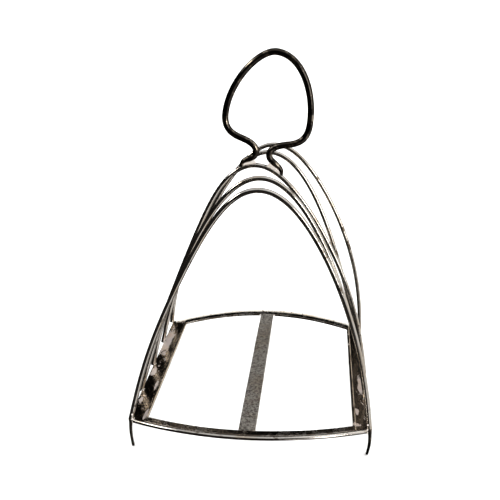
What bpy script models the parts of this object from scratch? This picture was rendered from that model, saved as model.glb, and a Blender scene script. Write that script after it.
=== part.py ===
"""Five-bar wirework toast rack with a soldered ring handle, in metres, +Z up.

X runs across the hoops, Y runs along the row of hoops with the front at -Y, and Z = 0 is the
surface the four feet stand on. Every wire and strip is its own closed body. Pieces that are
soldered together on the real rack stand one solder gap apart here.
"""

import math

import bmesh
import bpy
from mathutils import Vector

# --- main sizes -------------------------------------------------------------------------------
RACK_WIDTH = 0.0910          # over the outsides of the hoop legs at the base, as drawn
HOOP_PITCH = 0.0226          # hoop plane to hoop plane
BASE_TOP = 0.0116            # top face of the side bars above the table
SOLDER_GAP = 0.0003

# --- hoops ------------------------------------------------------------------------------------
HOOP_WIRE = 0.0019
HOOP_RISE = 0.0881           # crown centreline above the top face of the side bars
HOOP_HALF_SPAN = RACK_WIDTH / 2 - HOOP_WIRE / 2
HOOP_STEPS = 46
WIRE_SIDES = 10
# Old hand-bent hoops, front to rear: how far the crown has moved sideways and up, how far the
# left and the right leg swell outside a true parabola, as a share of its half width, how far
# outside their drawn places the left and the right leg were soldered, and how far the left leg
# sways in above its middle and out below it.
HOOPS = (
    ("front_hoop", 0.0036, 0.0013, 0.041, 0.025, -0.0001, -0.0001, 0.0007),
    ("second_hoop", 0.0025, 0.0001, 0.020, 0.006, 0.0010, -0.0004, 0.0002),
    ("middle_hoop", -0.0014, -0.0001, -0.052, 0.111, 0.0009, 0.0000, 0.0010),
    ("fourth_hoop", 0.0024, 0.0006, 0.035, -0.040, 0.0011, -0.0006, 0.0008),
    ("rear_hoop", 0.0036, -0.0005, 0.112, 0.070, 0.0013, 0.0000, 0.0009),
)

# --- base frame -------------------------------------------------------------------------------
STRIP_THICKNESS = 0.0010
SIDE_BAR_WIDTH = 0.0068
SIDE_BAR_INNER = 0.0385      # half distance between the inner edges of the side bars
CENTRE_BAR_WIDTH = 0.0062
END_BAR_WIDTH = 0.0032
END_BAR_SPREAD = 0.0432      # half distance between the corners the bow is measured from
END_BAR_SET_IN = 0.0038      # its inner edge inside the end hoop's plane, at those corners
END_BAR_BOW = 0.0116         # how far the middle of an end bar bows outwards
END_BAR_ARCH = 0.0022        # how far the middle of an end bar rises above its ends
END_BAR_STEPS = 28
RIM_WIRE = 0.0016
STRIP_EDGE_BREAK = 0.00012   # softened long edges of every strip

# --- feet -------------------------------------------------------------------------------------
FOOT_TOP_RADIUS = 0.00064
FOOT_TIP_RADIUS = 0.00045
FOOT_STEPS = 10
FOOT_BOW = 0.0003              # how far a foot curves outwards on its way down
# name, side of the rack, end of the rack, and how far its tip turns in across and along it
FEET = (
    ("front_left_foot", -1, -1, 0.0004, 0.0002),
    ("front_right_foot", 1, -1, 0.0005, 0.0020),
    ("rear_left_foot", -1, 1, 0.0005, 0.0011),
    ("rear_right_foot", 1, 1, 0.0005, 0.0011),
)

# --- handle: heights and half widths are measured from the middle of its neck ------------------
HANDLE_WIRE = 0.0026
HANDLE_SIDES = 14
HANDLE_LEAN = math.radians(8.0)
NECK_MIDDLE = (0.0016, 0.1044)    # X and Z of the neck on the middle hoop's plane
NECK_HALF_GAP = 0.00265
SHOULDER = (0.0100, 0.0050)       # where the loop turns in to the neck
WAIST = (0.0163, 0.0135)          # the widest place
LOOP_HEIGHT = 0.0387
LEFT_TOE = (0.0074, -0.0060)      # where each leg is turned down on to the hoop
RIGHT_TOE = (0.0083, -0.0069)
LEFT_CROWN_PULL = 0.41            # how broad each half of the loop's top is, as a share of
RIGHT_CROWN_PULL = 0.60           # its greatest half width
TOE_TAPER = 0.62                  # a toe's end as a share of the wire

# --- colours ----------------------------------------------------------------------------------
SILVER = (0.62, 0.60, 0.57, 1.0)
OLD_SILVER = (0.40, 0.38, 0.35, 1.0)

END_PLANE = HOOP_PITCH * (len(HOOPS) - 1) / 2
STRIP_MID = BASE_TOP - STRIP_THICKNESS / 2
RIM_OUTWARDS = END_BAR_WIDTH + SOLDER_GAP + RIM_WIRE / 2   # rim centre from the inner edge
UP = Vector((0.0, 0.0, 1.0))
ALONG = Vector((0.0, 1.0, 0.0))
ACROSS = Vector((1.0, 0.0, 0.0))


def clear_scene():
    for item in list(bpy.data.objects):
        bpy.data.objects.remove(item, do_unlink=True)


def metal(name, colour, roughness):
    material = bpy.data.materials.new(name)
    material.use_nodes = True
    shader = material.node_tree.nodes["Principled BSDF"]
    shader.inputs["Base Color"].default_value = colour
    shader.inputs["Metallic"].default_value = 1.0
    shader.inputs["Roughness"].default_value = roughness
    return material


def round_section(radius, sides):
    """A circle as a closed list of (sideways, upright) points."""
    turns = [2 * math.pi * (k + 0.5) / sides for k in range(sides)]
    return [(radius * math.cos(turn), radius * math.sin(turn)) for turn in turns]


def strip_section(width, thickness):
    """A flat strip with its four long edges broken."""
    half, up, cut = width / 2, thickness / 2, STRIP_EDGE_BREAK
    corners = ((half, up - cut), (half - cut, up), (cut - half, up), (-half, up - cut),
               (-half, cut - up), (cut - half, -up), (half - cut, -up), (half, cut - up))
    return list(corners)


def sweep(name, path, section, upright, material, scales=None, end_cuts=None):
    """Carries a section along a path of points and closes both ends.

    `upright` is the direction the section's second axis keeps to, `scales` gives the section's
    (sideways, upright) size at every point, and `end_cuts` holds the normals of the first and
    last face where they aren't square to the path.
    """
    mesh = bmesh.new()
    rings = []
    last = len(path) - 1
    for index, point in enumerate(path):
        ahead = (path[min(index + 1, last)] - path[max(index - 1, 0)]).normalized()
        side = ahead.cross(upright).normalized()
        rise = side.cross(ahead)
        across, tall = scales[index] if scales else (1.0, 1.0)
        ring = []
        for u, v in section:
            spot = point + side * (u * across) + rise * (v * tall)
            if end_cuts and index in (0, last):
                cut = end_cuts[index // last]
                spot -= ahead * ((spot - point).dot(cut) / ahead.dot(cut))
            ring.append(mesh.verts.new(spot))
        rings.append(ring)
    count = len(section)
    for first, second in zip(rings, rings[1:]):
        for k in range(count):
            mesh.faces.new((first[k], first[(k + 1) % count], second[(k + 1) % count], second[k]))
    mesh.faces.new(list(reversed(rings[0])))
    mesh.faces.new(rings[-1])
    bmesh.ops.recalc_face_normals(mesh, faces=mesh.faces)
    data = bpy.data.meshes.new(name)
    mesh.to_mesh(data)
    mesh.free()
    data.materials.append(material)
    item = bpy.data.objects.new(name, data)
    bpy.context.collection.objects.link(item)
    data.shade_smooth()
    data.set_sharp_from_angle(angle=math.radians(35))
    return item


def bezier(start, start_pull, end_pull, end, steps):
    """Points of one cubic curve in a plane, without its first point."""
    points = []
    for k in range(1, steps + 1):
        t = k / steps
        s = 1 - t
        points.append(tuple(s ** 3 * a + 3 * s * s * t * b + 3 * s * t * t * c + t ** 3 * d
                            for a, b, c, d in zip(start, start_pull, end_pull, end)))
    return points


# --- hoops ------------------------------------------------------------------------------------
def hoop_point(turn, hoop, y):
    """A point of a hoop's centreline: turn runs from -1 at the left foot to 1 at the right."""
    shift, lift, *shape, sway = hoop[1:]
    drop = turn * turn                      # share of the rise below the crown
    swell, stray = shape[0::2] if turn < 0 else shape[1::2]
    reach = (HOOP_HALF_SPAN + stray) * (1 + swell * math.sin(math.pi * drop))
    x = turn * reach + shift * (1 - drop ** 3)
    if turn < 0:
        x += sway * math.sin(2 * math.pi * drop)
    rise = HOOP_RISE + lift - SOLDER_GAP
    return Vector((x, y, BASE_TOP + SOLDER_GAP + rise * (1 - drop)))


def make_hoop(index, material):
    """An arched wire whose legs stop one solder gap above the side bars."""
    y = index * HOOP_PITCH - END_PLANE
    path = [hoop_point(2 * k / HOOP_STEPS - 1, HOOPS[index], y) for k in range(HOOP_STEPS + 1)]
    return sweep(HOOPS[index][0], path, round_section(HOOP_WIRE / 2, WIRE_SIDES), ALONG,
                 material, end_cuts=(UP, UP))


# --- feet -------------------------------------------------------------------------------------
def make_foot(foot, material):
    """A tapered foot under a corner, its tip turned in a little and cut flat to stand on."""
    name, side, end, turn_across, turn_along = foot
    path, scales = [], []
    for k in range(FOOT_STEPS + 1):
        t = k / FOOT_STEPS
        bend = t ** 2.2
        across = HOOP_HALF_SPAN + FOOT_BOW * math.sin(math.pi * t) - turn_across * bend
        path.append(Vector((side * across,
                            end * (END_PLANE - turn_along * bend), BASE_TOP * (1 - t))))
        size = 1 + (FOOT_TIP_RADIUS / FOOT_TOP_RADIUS - 1) * t
        scales.append((size, size))
    return sweep(name, path, round_section(FOOT_TOP_RADIUS, WIRE_SIDES), ALONG, material,
                 scales, (UP, UP))


# --- base frame -------------------------------------------------------------------------------
def end_bar_line(x, end, outwards):
    """A point beside an end bar's inner edge: end is -1 at the front and 1 at the rear."""
    share = 1 - (x / END_BAR_SPREAD) ** 2
    y = END_PLANE - END_BAR_SET_IN + outwards + END_BAR_BOW * share
    return Vector((x, end * y, STRIP_MID + END_BAR_ARCH * share))


def make_side_bar(name, side, material):
    """A flat bar whose ends are cut along the rims that run past them."""
    x = side * (SIDE_BAR_INNER + SIDE_BAR_WIDTH / 2)
    slope = 2 * END_BAR_BOW * x / END_BAR_SPREAD ** 2
    clear = (RIM_WIRE / 2 + 1.5 * SOLDER_GAP) * math.hypot(1, slope)
    reach = end_bar_line(x, 1, RIM_OUTWARDS).y - clear
    path = [Vector((x, end * reach, STRIP_MID)) for end in (-1, 1)]
    cuts = [Vector((slope, end, 0.0)) for end in (-1, 1)]
    return sweep(name, path, strip_section(SIDE_BAR_WIDTH, STRIP_THICKNESS), UP, material,
                 end_cuts=cuts)


def make_end_bar(name, end, material):
    """A bowed strip let in between the two side bars."""
    reach = SIDE_BAR_INNER - SOLDER_GAP
    path = [end_bar_line(reach * (2 * k / END_BAR_STEPS - 1), end, END_BAR_WIDTH / 2)
            for k in range(END_BAR_STEPS + 1)]
    return sweep(name, path, strip_section(END_BAR_WIDTH, STRIP_THICKNESS), UP, material,
                 end_cuts=(ACROSS, ACROSS))


def make_rim(name, end, material):
    """The round wire run along an end bar's outer edge, from corner to corner."""
    reach = HOOP_HALF_SPAN - HOOP_WIRE / 2 - SOLDER_GAP
    path = [end_bar_line(reach * (2 * k / END_BAR_STEPS - 1), end, RIM_OUTWARDS)
            for k in range(END_BAR_STEPS + 1)]
    return sweep(name, path, round_section(RIM_WIRE / 2, WIRE_SIDES), UP, material,
                 end_cuts=(ACROSS, ACROSS))


def make_centre_bar(material):
    reach = abs(end_bar_line(CENTRE_BAR_WIDTH / 2, 1, 0.0).y) - SOLDER_GAP
    height = STRIP_MID + END_BAR_ARCH
    path = [Vector((0.0, end * reach, height)) for end in (-1, 1)]
    return sweep("centre_bar", path, strip_section(CENTRE_BAR_WIDTH, STRIP_THICKNESS), UP,
                 material)


# --- handle -----------------------------------------------------------------------------------
def half_handle(toe, crown_pull):
    """Half of the handle's centreline, from the top of the loop to the end of one toe."""
    top, neck = (0.0, LOOP_HEIGHT), (NECK_HALF_GAP, 0.0)
    rise = LOOP_HEIGHT - WAIST[1]
    points = [top]
    points += bezier(top, (crown_pull * WAIST[0], top[1]), (WAIST[0], WAIST[1] + 0.48 * rise),
                     WAIST, 15)
    points += bezier(WAIST, (WAIST[0], WAIST[1] - 0.0055),
                     (SHOULDER[0] + 0.0036, SHOULDER[1] + 0.0010), SHOULDER, 7)
    points += bezier(SHOULDER, (SHOULDER[0] - 0.0029, SHOULDER[1] - 0.0008),
                     (neck[0], neck[1] + 0.0032), neck, 7)
    points += bezier(neck, (neck[0], neck[1] - 0.0034), (toe[0] + 0.0003, toe[1] + 0.0032),
                     toe, 8)
    return points


def hoop_normal(x):
    """The way the middle hoop faces, outwards, above the place x across it."""
    middle = HOOPS[len(HOOPS) // 2]
    near = min((hoop_point(k / 200 - 1, middle, 0.0) for k in range(401)),
               key=lambda spot: abs(spot.x - x))
    centre = Vector((middle[1], 0.0, near.z - HOOP_HALF_SPAN ** 2 / (2 * HOOP_RISE)))
    return (near - centre).normalized()


def make_handle(material):
    """One thick wire: a closed-looking ring, a pinched neck and two toes on the middle hoop."""
    left = half_handle(LEFT_TOE, LEFT_CROWN_PULL)
    right = half_handle(RIGHT_TOE, RIGHT_CROWN_PULL)
    flat = [(-x, z) for x, z in reversed(left)] + right[1:]
    cosine, sine = math.cos(HANDLE_LEAN), math.sin(HANDLE_LEAN)
    path, scales = [], []
    last = len(flat) - 1
    for index, (x, z) in enumerate(flat):
        path.append(Vector((NECK_MIDDLE[0] + x * cosine + z * sine, 0.0,
                            NECK_MIDDLE[1] + z * cosine - x * sine)))
        toe = max(0.0, 1 - min(index, last - index) / 4)
        size = 1 - (1 - TOE_TAPER) * toe
        scales.append((size, size))
    cuts = [hoop_normal(path[0].x), hoop_normal(path[-1].x)]
    return sweep("handle_loop", path, round_section(HANDLE_WIRE / 2, HANDLE_SIDES), ALONG,
                 material, scales, cuts)


def main():
    clear_scene()
    bright = metal("bright_silver", SILVER, 0.18)
    worn = metal("worn_silver", OLD_SILVER, 0.38)
    for index in range(len(HOOPS)):
        make_hoop(index, bright)
    for side, hand in ((-1, "left"), (1, "right")):
        make_side_bar(hand + "_side_bar", side, worn)
    make_centre_bar(worn)
    for end, place in ((-1, "front"), (1, "rear")):
        make_end_bar(place + "_end_bar", end, worn)
        make_rim(place + "_rim_wire", end, bright)
    for foot in FEET:
        make_foot(foot, bright)
    make_handle(bright)


main()
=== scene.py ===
import math

import bmesh
import bpy
from mathutils import Matrix, Vector, noise


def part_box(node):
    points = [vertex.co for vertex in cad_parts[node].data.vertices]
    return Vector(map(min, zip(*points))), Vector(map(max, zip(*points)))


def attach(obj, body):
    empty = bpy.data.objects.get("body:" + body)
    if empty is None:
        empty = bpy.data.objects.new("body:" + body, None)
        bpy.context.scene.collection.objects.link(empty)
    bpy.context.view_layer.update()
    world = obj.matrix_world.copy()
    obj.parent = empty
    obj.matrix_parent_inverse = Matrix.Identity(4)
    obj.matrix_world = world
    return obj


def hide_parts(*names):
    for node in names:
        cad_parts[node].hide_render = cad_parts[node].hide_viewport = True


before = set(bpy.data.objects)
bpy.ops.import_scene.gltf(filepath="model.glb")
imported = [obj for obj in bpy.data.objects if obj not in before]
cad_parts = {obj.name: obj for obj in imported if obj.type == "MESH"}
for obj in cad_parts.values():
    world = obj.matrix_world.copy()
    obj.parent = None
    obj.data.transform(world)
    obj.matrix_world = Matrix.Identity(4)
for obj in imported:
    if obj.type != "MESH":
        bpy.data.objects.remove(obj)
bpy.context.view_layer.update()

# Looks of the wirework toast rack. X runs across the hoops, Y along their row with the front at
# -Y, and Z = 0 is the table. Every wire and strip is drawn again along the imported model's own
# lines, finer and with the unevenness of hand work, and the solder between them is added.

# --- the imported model's driving sizes ----------------------------------------------------------
HOOP_PITCH = 0.0226
BASE_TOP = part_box("left_side_bar")[1].z
SOLDER_GAP = 0.0003
HOOP_WIRE = 0.0019
HOOP_RISE = 0.0881
HOOP_HALF_SPAN = 0.0910 / 2 - HOOP_WIRE / 2
# name, crown shift and lift, left and right swell, left and right foot outside its drawn place,
# and how far the left leg sways in above its middle and out below it
HOOPS = (
    ("front_hoop", 0.0036, 0.0013, 0.041, 0.025, -0.0001, -0.0001, 0.0007),
    ("second_hoop", 0.0025, 0.0001, 0.020, 0.006, 0.0010, -0.0004, 0.0002),
    ("middle_hoop", -0.0014, -0.0001, -0.052, 0.111, 0.0009, 0.0000, 0.0010),
    ("fourth_hoop", 0.0024, 0.0006, 0.035, -0.040, 0.0011, -0.0006, 0.0008),
    ("rear_hoop", 0.0036, -0.0005, 0.112, 0.070, 0.0013, 0.0000, 0.0009),
)
STRIP_THICKNESS = 0.0010
SIDE_BAR_WIDTH = 0.0068
SIDE_BAR_INNER = 0.0385
CENTRE_BAR_WIDTH = 0.0062
END_BAR_WIDTH = 0.0032
END_BAR_SPREAD = 0.0432
END_BAR_SET_IN = 0.0038
END_BAR_BOW = 0.0116
END_BAR_ARCH = 0.0022
RIM_WIRE = 0.0016
FOOT_TOP_RADIUS = 0.00064
FOOT_TIP_RADIUS = 0.00045
FOOT_BOW = 0.0003
# name, side, end, and how far its tip turns in across and along the rack
FEET = (
    ("front_left_foot", -1, -1, 0.0004, 0.0002),
    ("front_right_foot", 1, -1, 0.0005, 0.0020),
    ("rear_left_foot", -1, 1, 0.0005, 0.0011),
    ("rear_right_foot", 1, 1, 0.0005, 0.0011),
)
HANDLE_WIRE = 0.0026
HANDLE_LEAN = math.radians(8.0)
NECK_MIDDLE = (0.0016, 0.1044)
NECK_HALF_GAP = 0.00265
SHOULDER = (0.0100, 0.0050)
WAIST = (0.0163, 0.0135)
LOOP_HEIGHT = 0.0387
LEFT_TOE = (0.0074, -0.0060)
RIGHT_TOE = (0.0083, -0.0069)
LEFT_CROWN_PULL = 0.41
RIGHT_CROWN_PULL = 0.60
TOE_TAPER = 0.62
# how far the handle's curves reach on from their ends before they turn, across and up
LOOP_PULL = 0.48             # above the waist, as a share of the loop's rise
WAIST_PULL = 0.0055
SHOULDER_PULLS = ((0.0036, 0.0010), (0.0029, 0.0008))   # on its outer and on its inner side
NECK_PULLS = (0.0032, 0.0034)                           # above and below it
TOE_PULL = (0.0003, 0.0032)

# --- finish of the drawn pieces ------------------------------------------------------------------
HOOP_STEPS = 220
HOOP_SIDES = 20
HANDLE_SIDES = 28
STRIP_STEPS = 150
STRIP_COLUMNS = 9
STRIP_CORNER = 0.00022       # rounding of a strip's long edges
CORNER_TURNS = tuple(math.radians(angle) for angle in (108, 126, 144, 162))
SIDE_BAR_COLUMNS = 42        # enough of them to draw its lip
LIP_RADIUS = 0.00055         # the thickened inner edge of a side bar
LIP_HEIGHT = 0.00035
RIM_STEPS = 180
FOOT_STEPS = 36
FOOT_SIDES = 18
SHARP_ANGLE = math.radians(50)
WIRE_WAVER = 0.020           # share by which a drawn wire's thickness comes and goes
STRIP_WAVER = 0.00007        # how far a strip's face and edges wander
HAND_WAVE = 150.0            # waves per metre of that wandering
END_BAR_CALM = 0.7           # an end bar's share of that wandering
SPLAY_HEIGHT = 0.0020        # a hoop's foot is pressed wider below this height
SPLAY = (0.05, 0.16)         # and by this share, across the rack and along it
SINK = (1.4, 0.7)            # its last two rings go into the solder by this share of the gap
FOOT_FULLNESS = 1.08         # a foot's size at the frame, as a share of its radius there
FOOT_ROOT = 0.25             # and how much thicker the soldered top quarter begins
FOOT_TURN_POWER = 2.2        # how late a foot turns in on its way down
FOOT_TOE = (0.5, 0.95, 0.2)  # a flat toe: how much wider, where along the foot, how long
FOOT_ROUNDING = (0.97, 0.35)  # the tip is rounded from here on, by this share
FOOT_WAVER = 0.03
TOE_RUN = 16                 # points over which a handle's toe is drawn thinner
TOE_SINK = 2                 # solder gaps by which a toe is drawn on into the hoop's solder
HANDLE_CURVE_STEPS = (60, 26, 26, 30)
RIM_CLEARANCE = 1.5          # solder gaps between a side bar's end and the rim wire
HOOP_SEARCH = 400            # places on each half of a hoop that are tried to find one on it

# pale ovals on the side bars, worn metal and painted reflection of light in the bars' faces at
# once: centre and half size across and along the rack
WEAR_AND_SHEEN_SPOTS = (
    ("left", (((-0.0435, 0.0230), (0.0019, 0.0150)), ((-0.0440, -0.0065), (0.0012, 0.0040)),
              ((-0.0403, -0.0184), (0.0006, 0.0045)), ((-0.0440, -0.0310), (0.0010, 0.0030)),
              ((-0.0395, -0.0415), (0.0007, 0.0040)))),
    ("right", (((0.0426, -0.0120), (0.0012, 0.0080)), ((0.0404, -0.0330), (0.0006, 0.0026)),
               ((0.0400, -0.0424), (0.0014, 0.0014)))),
)
# soft windows of the room: direction, half angles of full and of no light, strength, colour
GLOWS = (
    ((0.0, 0.0, -1.0), 0.0, 180.0, 0.022, (1.0, 0.90, 0.80)),
    ((0.05, -0.12, 0.99), 30.0, 56.0, 0.60, (1.0, 0.98, 0.96)),
    ((0.62, 0.00, 0.78), 14.0, 34.0, 0.45, (1.0, 0.97, 0.93)),
    ((0.70, -0.58, 0.42), 12.0, 26.0, 0.42, (1.0, 0.97, 0.92)),
    ((0.96, 0.05, -0.08), 32.0, 54.0, 0.62, (1.0, 0.96, 0.92)),
    ((0.45, 0.88, -0.12), 14.0, 28.0, 1.6, (1.0, 0.97, 0.88)),
    ((0.44, -0.70, -0.56), 8.0, 18.0, 0.9, (1.0, 0.95, 0.91)),
    ((-0.73, -0.22, 0.62), 6.0, 11.0, 9.0, (1.0, 0.97, 0.92)),
    ((0.66, -0.72, 0.02), 4.0, 8.0, 8.0, (1.0, 0.97, 0.92)),
    ((0.62, -0.75, 0.20), 4.0, 8.0, 8.0, (1.0, 0.97, 0.92)),
)

BACKDROP = (1.0, 1.0, 1.0, 1.0)          # what is seen past the floor's far edge

END_PLANE = HOOP_PITCH * (len(HOOPS) - 1) / 2
STRIP_MID = BASE_TOP - STRIP_THICKNESS / 2
RIM_OUTWARDS = END_BAR_WIDTH + SOLDER_GAP + RIM_WIRE / 2
UP = Vector((0.0, 0.0, 1.0))
ALONG = Vector((0.0, 1.0, 0.0))
ACROSS = Vector((1.0, 0.0, 0.0))


# --- mesh tools ----------------------------------------------------------------------------------
def finish_mesh(mesh, name, material):
    """Turns a bmesh into a smooth-shaded object in the scene."""
    bmesh.ops.recalc_face_normals(mesh, faces=mesh.faces)
    data = bpy.data.meshes.new(name)
    mesh.to_mesh(data)
    mesh.free()
    data.materials.append(material)
    data.shade_smooth()
    data.set_sharp_from_angle(angle=SHARP_ANGLE)
    item = bpy.data.objects.new(name, data)
    bpy.context.collection.objects.link(item)
    return item


def waver(point, seed):
    """Smooth noise between about -1 and 1 that comes and goes along a hand-worked piece."""
    return noise.noise(point * HAND_WAVE + Vector((seed, 7.3 * seed, -seed)))


def sweep(mesh, path, section, upright, scales=None, end_cuts=None, seed=0.0, amount=0.0):
    """Carries a section of (sideways, upright) points along a path and closes both ends.

    `scales` gives the section's size at every point, `end_cuts` the normals of the end faces
    where they aren't square, and `amount` the share by which its thickness wanders.
    """
    rings = []
    last = len(path) - 1
    for index, point in enumerate(path):
        ahead = (path[min(index + 1, last)] - path[max(index - 1, 0)]).normalized()
        side = ahead.cross(upright).normalized()
        rise = side.cross(ahead)
        across, tall = scales[index] if scales else (1.0, 1.0)
        across *= 1 + amount * waver(point, seed)
        tall *= 1 + amount * waver(point, seed + 31)
        ring = []
        for u, v in section:
            spot = point + side * (u * across) + rise * (v * tall)
            if end_cuts and index in (0, last):
                cut = end_cuts[index // last]
                spot -= ahead * ((spot - point).dot(cut) / ahead.dot(cut))
            ring.append(mesh.verts.new(spot))
        rings.append(ring)
    count = len(section)
    for first, second in zip(rings, rings[1:]):
        for k in range(count):
            mesh.faces.new((first[k], first[(k + 1) % count], second[(k + 1) % count], second[k]))
    mesh.faces.new(list(reversed(rings[0])))
    mesh.faces.new(rings[-1])
    return rings


def round_section(radius, sides):
    turns = [2 * math.pi * (k + 0.5) / sides for k in range(sides)]
    return [(radius * math.cos(turn), radius * math.sin(turn)) for turn in turns]


def strip_section(width, thickness, columns=STRIP_COLUMNS):
    """A flat strip with rounded long edges and enough points on its faces to be uneven."""
    half, up, corner = width / 2, thickness / 2, STRIP_CORNER
    face = [(half - corner) * (1 - 2 * k / columns) for k in range(columns + 1)]
    edge = [(half - corner - corner * math.cos(turn), up - corner + corner * math.sin(turn))
            for turn in CORNER_TURNS]
    points = [(u, up) for u in face]
    points += [(-u, v) for u, v in edge] + [(-half, 0.0)] + [(-u, -v) for u, v in reversed(edge)]
    points += [(-u, -up) for u in face]
    points += [(u, -v) for u, v in edge] + [(half, 0.0)] + [(u, v) for u, v in reversed(edge)]
    return points


def unsettle(mesh, seed, amount):
    """Wanders every point of a strip a little, as hammering and a hundred years of use do."""
    for vert in mesh.verts:
        spot = vert.co.copy()
        for axis, share, shift in ((2, 1.0, 0), (0, 0.8, 11), (1, 0.8, 23)):
            vert.co[axis] += amount * share * waver(spot, seed + shift)


def bezier(start, start_pull, end_pull, end, steps):
    """Points of one cubic curve in a plane, without its first point."""
    points = []
    for k in range(1, steps + 1):
        t = k / steps
        s = 1 - t
        points.append(tuple(s ** 3 * a + 3 * s * s * t * b + 3 * s * t * t * c + t ** 3 * d
                            for a, b, c, d in zip(start, start_pull, end_pull, end)))
    return points


# --- materials -----------------------------------------------------------------------------------
SPOT_RAGGEDNESS = 0.0022     # sizes of what varies on the metal, in metres
GRAIN = 0.00045
WARM_PATCH = 0.009
HAZE_PATCH = 0.0025
DENT = 0.0030
PITS_PER_METRE = 1500.0
WARMTH = (0.88, 0.79, 0.67)  # tint of the metal where old lacquer is left
SPECK_SHADE = 0.35           # a dark speck's brightness beside the tarnish
SPOT_EDGE = (1.30, 1.48)     # a pale oval, worn metal with painted reflection, fades out here: half sizes from its centre plus noise


class Nodes:
    """A short way to write a material's node tree."""

    def __init__(self, name):
        self.material = bpy.data.materials.new(name)
        self.material.use_nodes = True
        self.tree = self.material.node_tree
        self.shader = self.tree.nodes["Principled BSDF"]

    def add(self, kind, **settings):
        node = self.tree.nodes.new(kind)
        for key, value in settings.items():
            if key.startswith("in_"):
                node.inputs[key[3:].replace("_", " ")].default_value = value
            else:
                setattr(node, key, value)
        return node

    def link(self, output, target):
        self.tree.links.new(output, target)

    def place(self):
        return self.add("ShaderNodeTexCoord").outputs["Object"]

    def cloud(self, size, detail=4.0, rough=0.55, bend=0.0, along=1.0):
        """Noise whose lumps are about `size` metres, and `along` times as long in depth."""
        node = self.add("ShaderNodeTexNoise", in_Scale=1 / size, in_Detail=detail,
                        in_Roughness=rough, in_Distortion=bend)
        squeeze = self.add("ShaderNodeVectorMath", operation="MULTIPLY")
        squeeze.inputs[1].default_value = (1.0, 1.0 / along, 1.0)
        self.link(self.place(), squeeze.inputs[0])
        self.link(squeeze.outputs[0], node.inputs["Vector"])
        return node.outputs["Fac"]

    def spread(self, value, low, high, start=0.0, end=1.0):
        node = self.add("ShaderNodeMapRange", interpolation_type="SMOOTHSTEP")
        self.link(value, node.inputs["Value"])
        for key, number in (("From Min", low), ("From Max", high),
                            ("To Min", start), ("To Max", end)):
            node.inputs[key].default_value = number
        return node.outputs["Result"]

    def mix(self, factor, first, second):
        node = self.add("ShaderNodeMix", data_type="RGBA")
        self.link(factor, node.inputs["Factor"])
        for value, socket in ((first, node.inputs[6]), (second, node.inputs[7])):
            if isinstance(value, tuple):
                socket.default_value = value + (1.0,)
            else:
                self.link(value, socket)
        return node.outputs[2]

    def spot(self, centre, half, ragged):
        """A ragged oval that is 1 inside and 0 outside, seen from above."""
        shift = self.add("ShaderNodeVectorMath", operation="SUBTRACT")
        self.link(self.place(), shift.inputs[0])
        shift.inputs[1].default_value = (centre[0], centre[1], 0.0)
        scale = self.add("ShaderNodeVectorMath", operation="MULTIPLY")
        self.link(shift.outputs[0], scale.inputs[0])
        scale.inputs[1].default_value = (1 / half[0], 1 / half[1], 0.0)
        reach = self.add("ShaderNodeVectorMath", operation="LENGTH")
        self.link(scale.outputs[0], reach.inputs[0])
        total = self.add("ShaderNodeMath", operation="ADD")
        self.link(reach.outputs["Value"], total.inputs[0])
        self.link(ragged, total.inputs[1])
        return self.spread(total.outputs[0], *SPOT_EDGE, 1.0, 0.0)

    def math(self, operation, first, second):
        node = self.add("ShaderNodeMath", operation=operation, use_clamp=True)
        for value, socket in ((first, node.inputs[0]), (second, node.inputs[1])):
            if isinstance(value, (int, float)):
                socket.default_value = value
            else:
                self.link(value, socket)
        return node.outputs[0]

    def bump(self, height, depth, below=None):
        node = self.add("ShaderNodeBump", in_Strength=1.0, in_Distance=depth)
        self.link(height, node.inputs["Height"])
        if below:
            self.link(below, node.inputs["Normal"])
        return node.outputs["Normal"]


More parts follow.
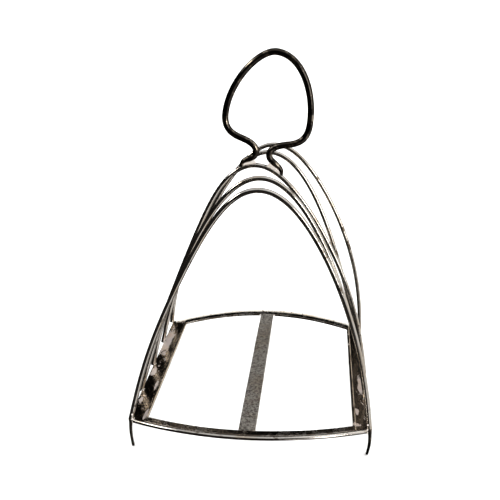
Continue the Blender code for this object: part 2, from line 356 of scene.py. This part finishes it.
def old_silver(name, bright, dark, patch, cover, rough, metal=1.0, frost=0.0, pits=0.0, speck=0.2,
               along=1.0, spots=(), rim=1.0, dents=0.00006):
    """Silver with tarnish in patches.

    `patch` is the patches' size in metres, `cover` the noise values between which tarnish gives
    way to clean metal, `rough` the roughness of tarnished and of clean metal, `metal` how
    metallic the clean patches are, `frost` the depth of fine grain in them, `pits` the depth of
    pitting, `speck` how strongly fine specks show, `along` how much longer the patches are than
    wide, `spots` the centre and half size of paler ovals, worn metal and painted reflection at
    once, `rim` how bright the metal stays where it turns away, and `dents` the depth of its
    unevenness.
    """
    n = Nodes(name)
    clean = n.spread(n.cloud(patch, 7.0, 0.64, 0.5, along), cover[0], cover[1])
    # Inside each oval the metal is painted paler, rougher and less metallic: worn metal and painted
    # reflection together.
    for centre, half in spots:
        ragged = n.spread(n.cloud(SPOT_RAGGEDNESS, 8.0, 0.75, 0.3, along), 0.28, 0.72)
        clean = n.math("MAXIMUM", clean, n.spot(centre, half, ragged))
    grain = n.cloud(GRAIN, 3.0, 0.7)
    specks = n.spread(grain, 0.52, 0.74, 0.0, speck)
    warm = tuple(channel * tint for channel, tint in zip(bright, WARMTH))
    metal_tone = n.mix(n.spread(n.cloud(WARM_PATCH, 2.0, 0.5), 0.45, 0.70, 0.0, 0.7), bright, warm)
    tone = n.mix(clean, dark, metal_tone)
    n.link(n.mix(specks, tone, tuple(SPECK_SHADE * c for c in dark)), n.shader.inputs["Base Color"])
    if metal < 1:
        n.link(n.spread(clean, 0.0, 1.0, 1.0, metal), n.shader.inputs["Metallic"])
    else:
        n.shader.inputs["Metallic"].default_value = 1.0
    n.shader.inputs["Specular Tint"].default_value = (rim, rim, rim, 1.0)
    haze = n.spread(n.cloud(HAZE_PATCH, 5.0, 0.6), 0.3, 0.75, 0.0, 0.5 * min(rough))
    n.link(n.math("ADD", n.spread(clean, 0.0, 1.0, rough[0], rough[1]), haze),
           n.shader.inputs["Roughness"])
    surface = n.bump(n.cloud(DENT, 5.0, 0.6), dents)
    if frost:
        surface = n.bump(n.math("MULTIPLY", grain, clean), frost, surface)
    if pits:
        holes = n.add("ShaderNodeTexVoronoi", in_Scale=PITS_PER_METRE, in_Randomness=1.0)
        n.link(n.place(), holes.inputs["Vector"])
        surface = n.bump(n.spread(holes.outputs["Distance"], 0.1, 0.5), pits, surface)
    n.link(surface, n.shader.inputs["Normal"])
    return n.material


# --- hoops ---------------------------------------------------------------------------------------
def hoop_point(turn, hoop, y):
    """A point of a hoop's centreline: turn runs from -1 at the left foot to 1 at the right."""
    shift, lift, *shape, sway = hoop[1:]
    drop = turn * turn
    swell, stray = shape[0::2] if turn < 0 else shape[1::2]
    reach = (HOOP_HALF_SPAN + stray) * (1 + swell * math.sin(math.pi * drop))
    x = turn * reach + shift * (1 - drop ** 3)
    if turn < 0:
        x += sway * math.sin(2 * math.pi * drop)
    rise = HOOP_RISE + lift - SOLDER_GAP
    return Vector((x, y, BASE_TOP + SOLDER_GAP + rise * (1 - drop)))


def hoop_plane(index):
    return index * HOOP_PITCH - END_PLANE


def make_hoop(index, material):
    """A hoop whose feet spread a little where they were pressed on to the side bars."""
    hoop, y = HOOPS[index], hoop_plane(index)
    path = [hoop_point(2 * k / HOOP_STEPS - 1, hoop, y) for k in range(HOOP_STEPS + 1)]
    foot_run = [Vector((0, 0, -SOLDER_GAP * share)) for share in SINK]
    path = ([path[0] + drop for drop in foot_run] + path
            + [path[-1] + drop for drop in reversed(foot_run)])
    scales = []
    for point in path:
        near = max(0.0, 1 - (point.z - BASE_TOP) / SPLAY_HEIGHT)
        scales.append(tuple(1 + share * near ** 2 for share in SPLAY))
    mesh = bmesh.new()
    sweep(mesh, path, round_section(HOOP_WIRE / 2, HOOP_SIDES), ALONG, scales, (UP, UP),
          seed=3.0 + index, amount=WIRE_WAVER)
    return finish_mesh(mesh, "fine_" + hoop[0], material)


# --- feet ----------------------------------------------------------------------------------------
def make_foot(foot, material):
    name, side, end, turn_across, turn_along = foot
    path, scales = [], []
    for k in range(FOOT_STEPS + 1):
        t = k / FOOT_STEPS
        bend = t ** FOOT_TURN_POWER
        across = HOOP_HALF_SPAN + FOOT_BOW * math.sin(math.pi * t) - turn_across * bend
        path.append(Vector((side * across,
                            end * (END_PLANE - turn_along * bend), BASE_TOP * (1 - t))))
        size = (FOOT_FULLNESS + (FOOT_TIP_RADIUS / FOOT_TOP_RADIUS - 1) * t
                + FOOT_ROOT * max(0.0, 1 - 4 * t) ** 2)
        wider, where, length = FOOT_TOE
        start, loss = FOOT_ROUNDING
        edge = max(0.0, t - start) / (1 - start)
        toe = 1 + wider * max(0.0, 1 - abs(t - where) / length)
        scales.append((size * (1 - loss * edge), size * toe * (1 - loss * edge)))
    mesh = bmesh.new()
    sweep(mesh, path, round_section(FOOT_TOP_RADIUS, FOOT_SIDES), ALONG, scales, (UP, UP),
          seed=side + 2.0 * end, amount=FOOT_WAVER)
    return finish_mesh(mesh, "fine_" + name, material)


# --- base frame ----------------------------------------------------------------------------------
def end_bar_line(x, end, outwards):
    """A point beside an end bar's inner edge: end is -1 at the front and 1 at the rear."""
    share = 1 - (x / END_BAR_SPREAD) ** 2
    y = END_PLANE - END_BAR_SET_IN + outwards + END_BAR_BOW * share
    return Vector((x, end * y, STRIP_MID + END_BAR_ARCH * share))


def lipped(section, side):
    """A side bar's section, swollen along the inner edge of its top face."""
    middle = SIDE_BAR_WIDTH / 2 - LIP_RADIUS
    swollen = []
    for u, v in section:
        away = (-side * u - middle) / LIP_RADIUS
        if v > 0 and abs(away) < 1:
            v += LIP_HEIGHT * math.sqrt(1 - away * away)
        swollen.append((u, v))
    return swollen


def make_side_bar(name, side, material):
    x = side * (SIDE_BAR_INNER + SIDE_BAR_WIDTH / 2)
    slope = 2 * END_BAR_BOW * x / END_BAR_SPREAD ** 2
    clear = (RIM_WIRE / 2 + RIM_CLEARANCE * SOLDER_GAP) * math.hypot(1, slope)
    reach = end_bar_line(x, 1, RIM_OUTWARDS).y - clear
    path = [Vector((x, reach * (2 * k / STRIP_STEPS - 1), STRIP_MID))
            for k in range(STRIP_STEPS + 1)]
    cuts = [Vector((slope, end, 0.0)) for end in (-1, 1)]
    mesh = bmesh.new()
    section = strip_section(SIDE_BAR_WIDTH, STRIP_THICKNESS, SIDE_BAR_COLUMNS)
    sweep(mesh, path, lipped(section, side), UP, end_cuts=cuts)
    unsettle(mesh, 5.0 + side, STRIP_WAVER)
    return finish_mesh(mesh, "fine_" + name, material)


def make_end_bar(name, end, material):
    reach = SIDE_BAR_INNER + SOLDER_GAP
    path = [end_bar_line(reach * (2 * k / STRIP_STEPS - 1), end, END_BAR_WIDTH / 2)
            for k in range(STRIP_STEPS + 1)]
    mesh = bmesh.new()
    sweep(mesh, path, strip_section(END_BAR_WIDTH, STRIP_THICKNESS), UP, end_cuts=(ACROSS, ACROSS))
    unsettle(mesh, 9.0 + end, STRIP_WAVER * END_BAR_CALM)
    return finish_mesh(mesh, "fine_" + name, material)


def make_rim(name, end, material):
    reach = HOOP_HALF_SPAN - HOOP_WIRE / 2
    path = [end_bar_line(reach * (2 * k / RIM_STEPS - 1), end, RIM_OUTWARDS)
            for k in range(RIM_STEPS + 1)]
    mesh = bmesh.new()
    sweep(mesh, path, round_section(RIM_WIRE / 2, HOOP_SIDES), UP, end_cuts=(ACROSS, ACROSS),
          seed=13.0 + end, amount=WIRE_WAVER)
    return finish_mesh(mesh, "fine_" + name, material)


def make_centre_bar(material):
    reach = abs(end_bar_line(CENTRE_BAR_WIDTH / 2, 1, 0.0).y) + SOLDER_GAP
    height = STRIP_MID + END_BAR_ARCH
    path = [Vector((0.0, reach * (2 * k / STRIP_STEPS - 1), height))
            for k in range(STRIP_STEPS + 1)]
    mesh = bmesh.new()
    sweep(mesh, path, strip_section(CENTRE_BAR_WIDTH, STRIP_THICKNESS), UP)
    unsettle(mesh, 17.0, STRIP_WAVER)
    return finish_mesh(mesh, "fine_centre_bar", material)


# --- handle --------------------------------------------------------------------------------------
def half_handle(toe, crown_pull):
    """Half of the handle's centreline, from the top of the loop to the end of one toe."""
    top, neck = (0.0, LOOP_HEIGHT), (NECK_HALF_GAP, 0.0)
    loop_steps, waist_steps, shoulder_steps, neck_steps = HANDLE_CURVE_STEPS
    outer, inner = SHOULDER_PULLS
    rise = LOOP_HEIGHT - WAIST[1]
    points = [top]
    points += bezier(top, (crown_pull * WAIST[0], top[1]),
                     (WAIST[0], WAIST[1] + LOOP_PULL * rise), WAIST, loop_steps)
    points += bezier(WAIST, (WAIST[0], WAIST[1] - WAIST_PULL),
                     (SHOULDER[0] + outer[0], SHOULDER[1] + outer[1]), SHOULDER, waist_steps)
    points += bezier(SHOULDER, (SHOULDER[0] - inner[0], SHOULDER[1] - inner[1]),
                     (neck[0], neck[1] + NECK_PULLS[0]), neck, shoulder_steps)
    points += bezier(neck, (neck[0], neck[1] - NECK_PULLS[1]),
                     (toe[0] + TOE_PULL[0], toe[1] + TOE_PULL[1]), toe, neck_steps)
    return points


def lean(x, z):
    """Turns a point of the upright handle to where the leaning one has it."""
    cosine, sine = math.cos(HANDLE_LEAN), math.sin(HANDLE_LEAN)
    return Vector((NECK_MIDDLE[0] + x * cosine + z * sine, 0.0,
                   NECK_MIDDLE[1] + z * cosine - x * sine))


def middle_hoop_point(x):
    """The point of the middle hoop's centreline above the place x across it."""
    middle = HOOPS[len(HOOPS) // 2]
    turns = [k / HOOP_SEARCH - 1 for k in range(2 * HOOP_SEARCH + 1)]
    return min((hoop_point(turn, middle, 0.0) for turn in turns),
               key=lambda spot: abs(spot.x - x))


def hoop_normal(x):
    """The way the middle hoop faces, outwards, at the place x across it."""
    near = middle_hoop_point(x)
    centre = Vector((HOOPS[len(HOOPS) // 2][1], 0.0,
                     near.z - HOOP_HALF_SPAN ** 2 / (2 * HOOP_RISE)))
    return (near - centre).normalized()


def make_handle(material):
    """The ring handle, its toes drawn on until they sink into the hoop's solder."""
    left = half_handle(LEFT_TOE, LEFT_CROWN_PULL)
    right = half_handle(RIGHT_TOE, RIGHT_CROWN_PULL)
    flat = [(-x, z) for x, z in reversed(left)] + right[1:]
    path = [lean(x, z) for x, z in flat]
    scales = []
    last = len(path) - 1
    for index in range(len(path)):
        toe = max(0.0, 1 - min(index, last - index) / TOE_RUN)
        size = 1 - (1 - TOE_TAPER) * toe
        scales.append((size, size))
    for index, step in ((0, path[0] - path[1]), (-1, path[-1] - path[-2])):
        path[index] = path[index] + step.normalized() * TOE_SINK * SOLDER_GAP
    cuts = [hoop_normal(path[0].x), hoop_normal(path[-1].x)]
    mesh = bmesh.new()
    sweep(mesh, path, round_section(HANDLE_WIRE / 2, HANDLE_SIDES), ALONG, scales, cuts,
          seed=41.0, amount=WIRE_WAVER)
    return finish_mesh(mesh, "fine_handle_loop", material)


# --- solder --------------------------------------------------------------------------------------
HOOP_BEAD = (0.0009, 0.0012, 0.0006)    # half size of the bead at a hoop's foot
HOOP_BEAD_INWARDS = 0.0005
HOOP_BEAD_UP = 0.0001
# beads at a corner: how far inwards and up from the bar's top, and their size
CORNER_BEADS = ((0.00085, 0.0024, 0.00032), (0.00090, 0.0003, 0.00034))
CORNER_BEAD_SHAPE = (1.0, 0.8, 1.1)
CORNER_BEAD_ALONG = 0.0009
LOW_BEAD_PLACE = (0.0010, 0.0007, -0.0010)
LOW_BEAD = (0.00038, 0.0004, 0.0005)
BAR_BEAD = (0.0005, 0.0006, 0.0004)     # the beads beside the centre bar's ends
BAR_BEAD_OFFSET = 0.0001
TOE_WEB_POINTS = 27                     # of the handle's line, counted back from a toe's end
TOE_WEB_DEPTH = (0.35, 0.2)             # its edges lie this share of a wire from either line
TOE_WEB_OVERLAP = 0.0002
TOE_WEB_THICKNESS = (0.00085, 0.0002)   # half thickness at the neck, and its loss to the toe
TOE_WEB_SIDES = 16
TOE_WEB_WAVER = 0.05
BEAD_LUMPS = 0.16                       # share by which a bead is uneven, and how finely
BEAD_LUMP_WAVES = 1.7
BEAD_DETAIL = 4


def blob(mesh, centre, radii, seed):
    """One bead of solder: a ball pressed into the joint and pulled uneven by its own cooling."""
    made = bmesh.ops.create_icosphere(mesh, subdivisions=BEAD_DETAIL, radius=1.0)
    for vert in made["verts"]:
        direction = vert.co.copy()
        lump = noise.noise(direction * BEAD_LUMP_WAVES + Vector((seed, seed, seed)))
        swell = 1 + BEAD_LUMPS * lump
        vert.co = centre + Vector((direction.x * radii[0], direction.y * radii[1],
                                   direction.z * radii[2])) * swell


def make_hoop_solder(index, material):
    """The beads that hold one hoop's two feet, mostly on the inside of the legs."""
    mesh = bmesh.new()
    hoop, y = HOOPS[index], hoop_plane(index)
    for side in (-1, 1):
        foot = hoop_point(side, hoop, y)
        centre = Vector((foot.x - side * HOOP_BEAD_INWARDS, y, BASE_TOP + HOOP_BEAD_UP))
        blob(mesh, centre, HOOP_BEAD, 2.0 * index + side)
    return finish_mesh(mesh, "solder_" + hoop[0], material)


def make_corner_solder(foot, material):
    """The beads where a foot, a side bar, a rim and an end hoop meet."""
    name, side, end = foot[:3]
    mesh = bmesh.new()
    x, y = side * HOOP_HALF_SPAN, end * END_PLANE
    seed = side + 5.0 * end
    for inwards, up, size in CORNER_BEADS:
        blob(mesh, Vector((x - side * inwards, y + end * CORNER_BEAD_ALONG, BASE_TOP + up)),
             [size * share for share in CORNER_BEAD_SHAPE], seed + 100 * up)
    inwards, along, up = LOW_BEAD_PLACE
    blob(mesh, Vector((x - side * inwards, y + end * along, BASE_TOP + up)), LOW_BEAD, seed + 3)
    return finish_mesh(mesh, "solder_" + name.replace("_foot", "_corner"), material)


def make_toe_solder(name, side, toe, crown_pull, material):
    """The web of solder that fills the crotch between a toe of the handle and the hoop."""
    line = [lean(side * x, z) for x, z in half_handle(toe, crown_pull)[-TOE_WEB_POINTS:]]
    path, scales = [], []
    for index, point in enumerate(line):
        floor = middle_hoop_point(point.x)
        low = floor.z + TOE_WEB_DEPTH[0] * HOOP_WIRE
        high = max(point.z - TOE_WEB_DEPTH[1] * HANDLE_WIRE, low + TOE_WEB_OVERLAP)
        run = index / (len(line) - 1)
        path.append(Vector((point.x, 0.0, (low + high) / 2)))
        scales.append((TOE_WEB_THICKNESS[0] - TOE_WEB_THICKNESS[1] * run,
                       (high - low) / 2 + TOE_WEB_OVERLAP))
    mesh = bmesh.new()
    sweep(mesh, path, round_section(1.0, TOE_WEB_SIDES), UP, scales, (ACROSS, ACROSS),
          seed=side, amount=TOE_WEB_WAVER)
    return finish_mesh(mesh, "solder_" + name, material)


def make_bar_solder(end, material):
    """The beads that fix the centre bar under the middle of one end bar."""
    mesh = bmesh.new()
    for side in (-1, 1):
        spot = end_bar_line(side * (CENTRE_BAR_WIDTH / 2 + BAR_BEAD_OFFSET), end, 0.0)
        blob(mesh, spot - BAR_BEAD_OFFSET * UP, BAR_BEAD, 11 * end + side)
    return finish_mesh(mesh, ("front" if end < 0 else "rear") + "_bar_solder", material)


# --- put the pieces together ---------------------------------------------------------------------
def keep(item, node=None):
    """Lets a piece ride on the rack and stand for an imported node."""
    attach(item, "root")
    if node:
        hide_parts(node)


def build_rack():
    wire = old_silver("old_silver_wire", (0.80, 0.77, 0.73), (0.22, 0.18, 0.14), patch=0.006,
                      cover=(0.34, 0.44), rough=(0.16, 0.08), rim=0.45)
    handle = old_silver("dark_silver_handle", (0.42, 0.37, 0.31), (0.060, 0.052, 0.045),
                        patch=0.0030, cover=(0.52, 0.62), rough=(0.05, 0.08), speck=0.4, rim=0.25)
    # The side bars' pale ovals are partly wear and partly painted reflection of light in the bars'
    # faces.
    strips = [old_silver("worn_and_sheen_silver_" + hand, (0.78, 0.69, 0.65), (0.40, 0.33, 0.26),
                         patch=0.0022, cover=(0.60, 0.70), rough=(0.08, 0.42), metal=0.80,
                         frost=0.00003, pits=0.00003, speck=0.4, along=2.5, spots=spots,
                         dents=0.00016)
              for hand, spots in WEAR_AND_SHEEN_SPOTS]
    end_strip = old_silver("worn_and_sheen_silver_end", (0.52, 0.49, 0.46), (0.26, 0.22, 0.18), patch=0.004,
                           cover=(0.42, 0.62), rough=(0.12, 0.28), pits=0.00002, speck=0.4,
                           dents=0.0001)
    # The rear rim wire gets a paler, half-matt cream copy of the silver, which the floor light
    # lifts: its pits are the metal's own, its lighter tone is painted reflection; the front rim
    # keeps the wire's finish.
    pitted_with_sheen = old_silver("pitted_silver_rear_painted_sheen", (0.82, 0.79, 0.72), (0.24, 0.20, 0.17),
                        patch=0.0012, cover=(0.34, 0.46), rough=(0.20, 0.46), metal=0.45,
                        pits=0.00004, speck=0.5)
    matt = old_silver("matt_silver_centre", (0.56, 0.53, 0.49), (0.22, 0.20, 0.18), patch=0.0010,
                      cover=(0.40, 0.58), rough=(0.40, 0.56), metal=0.90, frost=0.00006,
                      pits=0.00014, speck=0.8)
    # The solder is painted near white and mostly non-metallic, so the floor light lifts it to
    # white: a painted reflection of bright surroundings.
    solder = old_silver("silver_solder_painted_reflection", (0.98, 0.92, 0.88), (0.50, 0.43, 0.38), patch=0.0018,
                        cover=(0.28, 0.40), rough=(0.30, 0.50), metal=0.35, frost=0.00002)
    for index, hoop in enumerate(HOOPS):
        keep(make_hoop(index, wire), hoop[0])
        keep(make_hoop_solder(index, wire))
    for side, hand, strip in ((-1, "left", strips[0]), (1, "right", strips[1])):
        keep(make_side_bar(hand + "_side_bar", side, strip), hand + "_side_bar")
    keep(make_centre_bar(matt), "centre_bar")
    # The rear rim takes the paler copy with painted reflection, the front rim the plain wire
    # silver.
    for end, place, rim in ((-1, "front", wire), (1, "rear", pitted_with_sheen)):
        keep(make_end_bar(place + "_end_bar", end, end_strip), place + "_end_bar")
        keep(make_rim(place + "_rim_wire", end, rim), place + "_rim_wire")
        keep(make_bar_solder(end, solder))
    for foot in FEET:
        keep(make_foot(foot, handle), foot[0])
        keep(make_corner_solder(foot, solder))
    keep(make_handle(handle), "handle_loop")
    for name, side, toe, crown_pull in (("left_toe", -1, LEFT_TOE, LEFT_CROWN_PULL),
                                        ("right_toe", 1, RIGHT_TOE, RIGHT_CROWN_PULL)):
        keep(make_toe_solder(name, side, toe, crown_pull, solder))


# --- stage, light and camera ---------------------------------------------------------------------
FLOOR_HALF_SIZE = 60.0
OVERHEAD_STRENGTH = 5.2
OVERHEAD_SPREAD = math.radians(100)
OVERHEAD_TURN = (math.radians(-12), math.radians(8), 0.0)
CAMERA_PLACE = (0.02404, -0.29688, 0.16495)
CAMERA_YAW, CAMERA_PITCH, CAMERA_ROLL = (math.radians(angle) for angle in (-5.29, 18.60, -0.21))
LENS = 55.92                 # millimetres, on film 36 mm wide
FILM = 36.0
CAMERA_REACH = (0.01, 50.0)


def make_floor():
    mesh = bmesh.new()
    bmesh.ops.create_grid(mesh, x_segments=1, y_segments=1, size=FLOOR_HALF_SIZE)
    n = Nodes("pale_floor")
    tone = n.mix(n.cloud(0.4, 2.0), (0.90, 0.90, 0.90), (0.93, 0.93, 0.93))
    n.link(tone, n.shader.inputs["Base Color"])
    n.shader.inputs["Roughness"].default_value = 0.9
    n.shader.inputs["Specular IOR Level"].default_value = 0.1
    floor = finish_mesh(mesh, "floor", n.material)
    floor.visible_glossy = False


def make_room():
    """What the metal mirrors: a dark room with soft windows. The camera sees a white backdrop."""
    world = bpy.data.worlds.new("studio")
    world.use_nodes = True
    tree = world.node_tree
    place = tree.nodes.new("ShaderNodeTexCoord")
    total = None
    for direction, full, none, strength, colour in GLOWS:
        dot = tree.nodes.new("ShaderNodeVectorMath")
        dot.operation = "DOT_PRODUCT"
        tree.links.new(place.outputs["Generated"], dot.inputs[0])
        dot.inputs[1].default_value = Vector(direction).normalized()
        fade = tree.nodes.new("ShaderNodeMapRange")
        fade.interpolation_type = "SMOOTHSTEP"
        tree.links.new(dot.outputs["Value"], fade.inputs["Value"])
        fade.inputs["From Min"].default_value = math.cos(math.radians(none))
        fade.inputs["From Max"].default_value = math.cos(math.radians(full))
        tint = tree.nodes.new("ShaderNodeMix")
        tint.data_type = "RGBA"
        tree.links.new(fade.outputs["Result"], tint.inputs["Factor"])
        tint.inputs[6].default_value = (0.0, 0.0, 0.0, 1.0)
        tint.inputs[7].default_value = [strength * channel for channel in colour] + [1.0]
        if total is None:
            total = tint.outputs[2]
            continue
        add = tree.nodes.new("ShaderNodeMix")
        add.data_type = "RGBA"
        add.blend_type = "ADD"
        add.inputs["Factor"].default_value = 1.0
        tree.links.new(total, add.inputs[6])
        tree.links.new(tint.outputs[2], add.inputs[7])
        total = add.outputs[2]
    sight = tree.nodes.new("ShaderNodeLightPath")
    seen = tree.nodes.new("ShaderNodeMix")
    seen.data_type = "RGBA"
    tree.links.new(sight.outputs["Is Camera Ray"], seen.inputs["Factor"])
    tree.links.new(total, seen.inputs[6])
    seen.inputs[7].default_value = BACKDROP
    tree.links.new(seen.outputs[2], tree.nodes["Background"].inputs["Color"])
    bpy.context.scene.world = world


def make_floor_light():
    """A broad soft light from above that lifts the floor to white and stays out of the metal."""
    data = bpy.data.lights.new("overhead", "SUN")
    data.energy = OVERHEAD_STRENGTH
    data.angle = OVERHEAD_SPREAD
    light = bpy.data.objects.new("overhead", data)
    light.rotation_euler = OVERHEAD_TURN
    light.visible_glossy = False
    bpy.context.collection.objects.link(light)


def make_camera():
    """The camera stands in front and above, a little to the right, and looks down and left."""
    yaw, pitch, roll = CAMERA_YAW, CAMERA_PITCH, CAMERA_ROLL
    ahead = Vector((math.sin(yaw) * math.cos(pitch), math.cos(yaw) * math.cos(pitch),
                    -math.sin(pitch)))
    level = Vector((math.cos(yaw), -math.sin(yaw), 0.0))
    rise = level.cross(ahead)
    right = math.cos(roll) * level + math.sin(roll) * rise
    above = math.cos(roll) * rise - math.sin(roll) * level
    data = bpy.data.cameras.new("camera")
    data.sensor_width = FILM
    data.lens = LENS
    data.clip_start, data.clip_end = CAMERA_REACH
    camera = bpy.data.objects.new("camera", data)
    turn = Matrix((right, above, -ahead)).transposed().to_4x4()
    camera.matrix_world = Matrix.Translation(Vector(CAMERA_PLACE)) @ turn
    bpy.context.collection.objects.link(camera)
    bpy.context.scene.camera = camera


make_camera()
build_rack()
make_floor()
make_room()
make_floor_light()
bpy.context.scene.view_settings.view_transform = "Standard"
